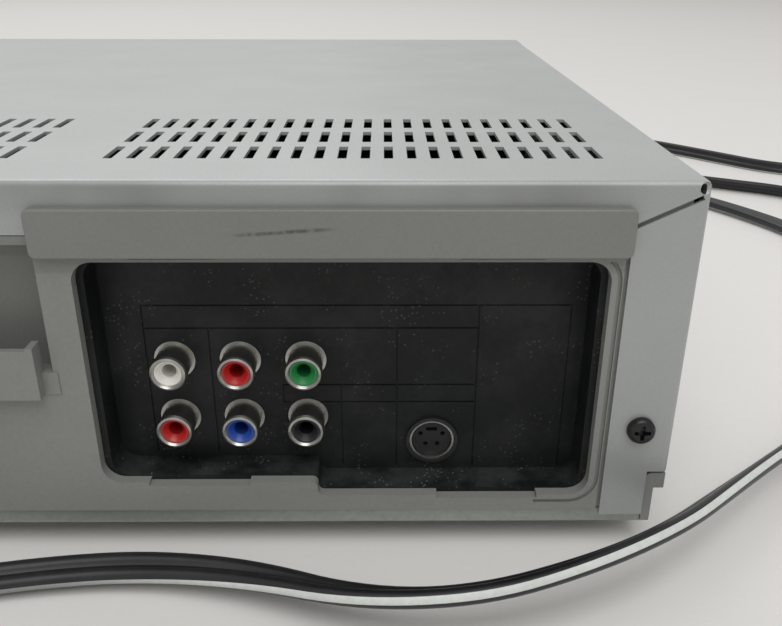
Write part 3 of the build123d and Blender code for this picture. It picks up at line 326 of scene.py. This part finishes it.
lead_width = 0.0072
lead_z = 3.7
lead_route = [
    (185.0, 156.0, 22.0), (185.0, 183.0, 22.0), (179.5, 211.0, 14.5), (158.5, 229.0, 8.0),
    (121.0, 230.0, lead_z), (62.0, 200.0, lead_z), (-2.0, 165.0, lead_z), (-62.0, 146.0, lead_z),
    (-110.0, 143.0, 5.0), (-158.0, 164.0, 10.0), (-206.0, 150.0, 14.0), (-240.0, 120.0, 11.0),
    (-284.0, 79.0, lead_z), (-326.0, 34.0, lead_z), (-354.0, -22.0, lead_z), (-355.0, -82.0, lead_z),
    (-331.0, -138.0, lead_z), (-296.0, -182.0, lead_z), (-262.0, -222.0, lead_z), (-256.0, -263.0, lead_z),
    (-283.0, -294.0, lead_z), (-325.0, -292.0, lead_z), (-360.0, -254.0, lead_z), (-394.0, -212.0, lead_z),
    (-437.0, -206.0, lead_z), (-468.0, -181.0, lead_z), (-472.0, -140.0, lead_z), (-440.0, -111.0, lead_z),
    (-400.0, -119.5, lead_z), (-382.0, -160.0, lead_z), (-346.0, -180.0, lead_z), (-312.0, -199.0, lead_z),
    (-297.0, -232.0, lead_z),
]
line_data = bpy.data.curves.new("lead_line", "CURVE")
line_data.dimensions = "3D"
line_data.resolution_u = 14
spline = line_data.splines.new("NURBS")
spline.points.add(len(lead_route) - 1)
for point, corner in zip(spline.points, lead_route):
    point.co = (*millimetres(*corner), 1.0)
spline.order_u = 3
spline.use_endpoint_u = True
line = bpy.data.objects.new("lead_line", line_data)
bpy.context.scene.collection.objects.link(line)
bpy.context.view_layer.update()
sampled = bpy.data.meshes.new_from_object(line)
lead_path = [vertex.co.copy() for vertex in sampled.vertices]
bpy.data.objects.remove(line)
lead_length = sum((b - a).length for a, b in zip(lead_path, lead_path[1:]))
print("lead", round(lead_length, 3), "m in", len(lead_path), "points")

# %% The lead's section
core_radius = lead_width / 4 * 1.04
core_apart = lead_width / 2 - core_radius
rib_half_angle = math.radians(24)


def lead_section():
    """Outline of the two cores as (across, up, on the rib) points, anticlockwise."""
    outline = []
    meet = math.acos(min(1.0, core_apart / core_radius) * 0.93)
    for side in (1, -1):
        start = -math.pi + meet if side == 1 else meet
        for step in range(13):
            angle = start + (2 * math.pi - 2 * meet) * step / 12
            across = side * core_apart + core_radius * math.cos(angle)
            up = core_radius * math.sin(angle)
            on_rib = side == 1 and abs(angle) < rib_half_angle
            outline.append((across * (1.02 if on_rib else 1.0), up, on_rib))
    return outline


section = lead_section()
print("section points", len(section), "of which rib", sum(point[2] for point in section))

# %% Sweep the lead
roll_keys = [(0.0, 0), (0.12, -22), (0.235, -18), (0.285, 34), (0.32, 46), (0.35, 56), (0.4, 60),
             (0.58, 0), (0.68, -60), (1.0, -60)]


def lead_roll(share):
    """How far the lead lies rolled about its own line at this share of its length.

    Near the relief its broad face is towards the camera; past the corner it lies on its edge.
    """
    for (start, first), (end, last) in zip(roll_keys, roll_keys[1:]):
        if share <= end:
            part = (share - start) / (end - start)
            return math.radians(first + (last - first) * part * part * (3 - 2 * part))
    return math.radians(roll_keys[-1][1])


lead_points = []
travelled = 0.0
for index, place in enumerate(lead_path):
    before = lead_path[max(0, index - 1)]
    after = lead_path[min(len(lead_path) - 1, index + 1)]
    along = (after - before).normalized()
    level = along.cross(Vector((0, 0, 1))).normalized()
    upright = along.cross(level).normalized()
    if upright.z < 0:
        upright = -upright
    travelled += (place - before).length
    angle = lead_roll(min(1.0, travelled / lead_length))
    for across, up, _ in section:
        sideways = across * math.cos(angle) - up * math.sin(angle)
        raised = across * math.sin(angle) + up * math.cos(angle)
        lead_points.append(place + level * sideways + upright * raised)
ring = len(section)
lead_faces = []
rib_faces = []
for index in range(len(lead_path) - 1):
    for corner in range(ring):
        following = (corner + 1) % ring
        a, b = index * ring + corner, index * ring + following
        lead_faces.append((a, b, b + ring, a + ring))
        rib_faces.append(section[corner][2] or section[following][2])
lead_faces += [tuple(range(ring)), tuple(reversed(range(len(lead_points) - ring, len(lead_points))))]
rib_faces += [False, False]
lead_mesh = bpy.data.meshes.new("lead")
lead_mesh.from_pydata([tuple(point) for point in lead_points], [], lead_faces)
lead = bpy.data.objects.new("lead", lead_mesh)
bpy.context.scene.collection.objects.link(lead)
sheath = finish("lead_sheath", srgb(27, 27, 30), 0.34, scale=900.0, depth=0.00002, drift=0.2,
                dust=(0.05, 0.1, srgb(110, 110, 108)))
rib = finish("lead_rib", srgb(205, 208, 204), 0.45, scale=700.0, depth=0.00001, drift=0.08)
# Painted shade: the rib is blended towards grey above X = -0.07 m, where it lies on the lead's shaded side.
rib_painted_shade = step_node(rib.node_tree, place_axes(rib.node_tree)["X"], -0.12, -0.07, 0.0, 0.8)
repaint(rib, rib_painted_shade, srgb(112, 113, 111))
lead_mesh.materials.append(sheath)
lead_mesh.materials.append(rib)
for face, on_rib in zip(lead_mesh.polygons, rib_faces):
    face.material_index = 1 if on_rib else 0
    face.use_smooth = True
clear_selection()
lead.select_set(True)
bpy.context.view_layer.objects.active = lead
bpy.ops.object.mode_set(mode="EDIT")
bpy.ops.mesh.select_all(action="SELECT")
bpy.ops.mesh.normals_make_consistent(inside=False)
bpy.ops.object.mode_set(mode="OBJECT")
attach(lead, "case")
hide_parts("mains_lead")
wear(sheath, "plug", "strain_relief")
print("lead faces", len(lead_faces))

# %% [markdown]
# ## The steel cover
# The cover is one folded sheet in satin silver-grey paint. Close up, the paint shows a fine powdery sparkle,
# and the tight bends catch a bright line of light. The sparkle is noise a third of a millimetre across in the
# colour; the bends are real, so the line of light comes by itself. The rear flanges get a darker grey than the
# top as painted shade, and a band along the top of the rear flange is patchily darker still.

# %% Cover paint
cover_paint = finish("cover_paint", srgb(177, 180, 179), 0.36, metallic=0.25, scale=2600.0,
                     depth=0.00002, drift=0.07)
tree = cover_paint.node_tree
axes = place_axes(tree)
behind = step_node(tree, axes["Y"], 0.1308, 0.1319)
high = step_node(tree, axes["Z"], 0.0795, 0.0835)
# A patchy darker band along the top of the rear flange, for X above -0.185 m.
band_noise = add_node(tree, "ShaderNodeTexNoise", Scale=22.0, Detail=3.0)
tree.links.new(object_place(tree), band_noise.inputs["Vector"])
upper_band_dark = step_node(tree, band_noise.outputs[0], 0.38, 0.62, 0.25, 0.75)
away = step_node(tree, axes["X"], -0.207, -0.185)
upper_rear_band = sum_node(tree, "MULTIPLY", away, sum_node(tree, "MULTIPLY", behind, high))
upper_band_dark = sum_node(tree, "MULTIPLY", upper_band_dark, upper_rear_band)
# Painted shade: the rear faces, turned away from the window lamp, are blended 42 % towards a darker grey.
repaint(cover_paint, sum_node(tree, "MULTIPLY", behind, 0.42), srgb(124, 126, 123))
repaint(cover_paint, upper_band_dark, srgb(118, 120, 118))
wear(cover_paint, "top_cover")
print("cover painted")

# %% [markdown]
# ## Bare plated sheet
# The bottom pan is zinc-plated steel, greener and duller than the paint. Brackets and shafts inside are brighter.
# Each is plain steel grey with more or less metallic, and its colour drifts a little as it does on rolled sheet.

# %% Plated steel
zinc = finish("zinc_plate", srgb(150, 156, 149), 0.42, metallic=0.55, scale=700.0, depth=0.00001, drift=0.1)
bracket = finish("bracket_steel", srgb(165, 166, 163), 0.4, metallic=0.7, scale=600.0, depth=0.00001, drift=0.12)
shaft_steel = finish("ground_steel", srgb(185, 185, 182), 0.25, metallic=0.9, scale=1200.0,
                     depth=0.00001, drift=0.06)
wear(zinc, "chassis_pan", "tuner")
wear(bracket, "tape_deck", "holder_slides", "tape_holder", "clamp_bridge", "tape_heads", "pinch_arm",
     "spindle_motor", "tray_motor")
wear(shaft_steel, "guide_rods", "lead_screw", "capstan")
print("plated sheet done")

# %% [markdown]
# ## Moulded plastics
# The rear panel is a warm dark grey with a spark-eroded grain, the socket tub is black and dusty, and the front
# is silver-grey. All are the same recipe with different grain and gloss. The tub gets the most dust, because
# nobody wipes down in there. The hood over it is a shade darker than the panel and has one slanting scuff.

# %% Plastics
panel_grey = finish("panel_grey", srgb(128, 129, 125), 0.5, scale=1300.0, depth=0.00005, drift=0.05,
                    dust=(0.05, 0.08, srgb(165, 165, 160)))
tub_black = finish("tub_black", srgb(18, 20, 21), 0.5, scale=1100.0, depth=0.00004, drift=0.15,
                   dust=(0.16, 0.6, srgb(120, 122, 121)))
front_silver = finish("front_silver", srgb(176, 178, 177), 0.38, metallic=0.2, scale=2000.0,
                      depth=0.00001, drift=0.04)
drive_black = finish("drive_black", srgb(40, 41, 43), 0.5, scale=900.0, depth=0.00003, drift=0.12)
parts_black = finish("parts_black", srgb(30, 31, 33), 0.45, scale=1200.0, depth=0.00002, drift=0.15)
key_grey = finish("key_grey", srgb(140, 142, 141), 0.3, scale=1500.0, depth=0.00001, drift=0.04)
gear_white = finish("gear_white", srgb(222, 220, 210), 0.4, scale=900.0, depth=0.00001, drift=0.05)
foot_rubber = finish("foot_rubber", srgb(38, 38, 38), 0.75, scale=1000.0, depth=0.00004, drift=0.15)
smoked = finish("smoked_window", srgb(20, 21, 23), 0.08, scale=400.0, depth=0.000002, drift=0.1, coat=0.6)
wear(panel_grey, "rear_panel", "corner_hooks")
tree = panel_grey.node_tree
axes = place_axes(tree)
hood = step_node(tree, axes["Z"], 0.0685, 0.0695, 0.0, 0.22)
repaint(panel_grey, hood, srgb(70, 72, 68))
scuff_slope = 0.068
scuff_height = 0.06934
slant = sum_node(tree, "ADD", axes["Z"], sum_node(tree, "MULTIPLY", axes["X"], scuff_slope))
off_line = sum_node(tree, "ABSOLUTE", sum_node(tree, "SUBTRACT", slant, scuff_height), 0.0)
scuff = step_node(tree, off_line, 0.0001, 0.0006, 0.75, 0.0)
for low, high, first, last in ((-0.143, -0.136, 0.0, 1.0), (-0.126, -0.119, 1.0, 0.0)):
    scuff = sum_node(tree, "MULTIPLY", scuff, step_node(tree, axes["X"], low, high, first, last))
rubbed = add_node(tree, "ShaderNodeTexNoise", Scale=500.0, Detail=2.0)
tree.links.new(object_place(tree), rubbed.inputs["Vector"])
scuff = sum_node(tree, "MULTIPLY", scuff, step_node(tree, rubbed.outputs[0], 0.35, 0.6, 0.3, 1.0))
repaint(panel_grey, scuff, srgb(52, 53, 52))
shader_of(tub_black).inputs["Specular IOR Level"].default_value = 0.25
wear(tub_black, "jack_panel")
wear(parts_black, "din_core", "jack_blocks", "capacitors")
wear(front_silver, "front_bezel", "cassette_flap", "tray_face")
wear(drive_black, "loader_frame", "disc_tray", "turntable", "clamper", "optical_sled")
wear(key_grey, *[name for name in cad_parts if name.endswith("_key")])
wear(gear_white, "tray_pinion", "supply_reel", "take_up_reel")
wear(foot_rubber, "feet")
wear(smoked, "display_window")
print("plastics done")

# %% [markdown]
# ## Socket metal and coloured cores
# Each phono socket is a nickel shell round a coloured core, and the colour says what plugs in. Nickel is nearly
# a mirror, slightly yellow, dulled by fingers, and tarnished dark on the noses of the sockets in the front. The
# cores are glossy polystyrene.

# %% Sockets
nickel = finish("nickel_shell", srgb(176, 175, 170), 0.32, metallic=1.0, scale=1500.0, depth=0.00001, drift=0.08)
wear(nickel, "jack_shells", "din_shell")
foremost = min(vertex.co.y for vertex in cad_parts["jack_shells"].data.vertices)
depth = place_axes(nickel.node_tree)["Y"]
tarnish = step_node(nickel.node_tree, depth, foremost + 0.0016, foremost + 0.005, 0.85, 0.0)
repaint(nickel, tarnish, srgb(46, 40, 30))
core_colours = {"white": (222, 221, 214), "red": (176, 34, 32), "green": (42, 128, 70), "blue": (38, 74, 156),
                "yellow": (226, 184, 38)}
for colour_name, values in core_colours.items():
    wear(finish("core_" + colour_name, srgb(*values), 0.3, scale=1200.0, depth=0.00001, drift=0.05),
         "jack_" + colour_name)
screw_black = finish("screw_black", srgb(44, 44, 46), 0.32, metallic=0.6, scale=1500.0, depth=0.00003, drift=0.25)
wear(screw_black, "case_screws")
print("sockets done")

# %% [markdown]
# ## Inside
# Through the vents and the open flap one sees boards, a transformer and the polished video drum. They get
# simple finishes of the same kind. The drum and its base are turned aluminium.

# %% Inside
board_green = finish("board_lacquer", srgb(34, 92, 54), 0.35, scale=300.0, depth=0.00001, drift=0.2)
turned_metal = finish("turned_aluminium", srgb(208, 209, 210), 0.2, metallic=1.0, scale=800.0,
                      depth=0.00001, drift=0.04)
sink_metal = finish("sink_aluminium", srgb(176, 178, 179), 0.4, metallic=0.8, scale=600.0, depth=0.00001, drift=0.1)
core_iron = finish("core_iron", srgb(74, 70, 66), 0.5, metallic=0.3, scale=700.0, depth=0.00003, drift=0.2)
tube_glass = finish("tube_glass", srgb(60, 84, 82), 0.12, scale=400.0, depth=0.000002, drift=0.1)
wear(board_green, "main_board", "power_board", "front_board")
wear(turned_metal, "head_drum", "drum_base")
wear(sink_metal, "heat_sink")
wear(core_iron, "transformer")
wear(tube_glass, "display_tube")
unfinished = [name for name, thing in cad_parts.items()
              if not thing.data.materials or thing.data.materials[0].name not in finishes]
print("nodes without a finish of their own:", unfinished)
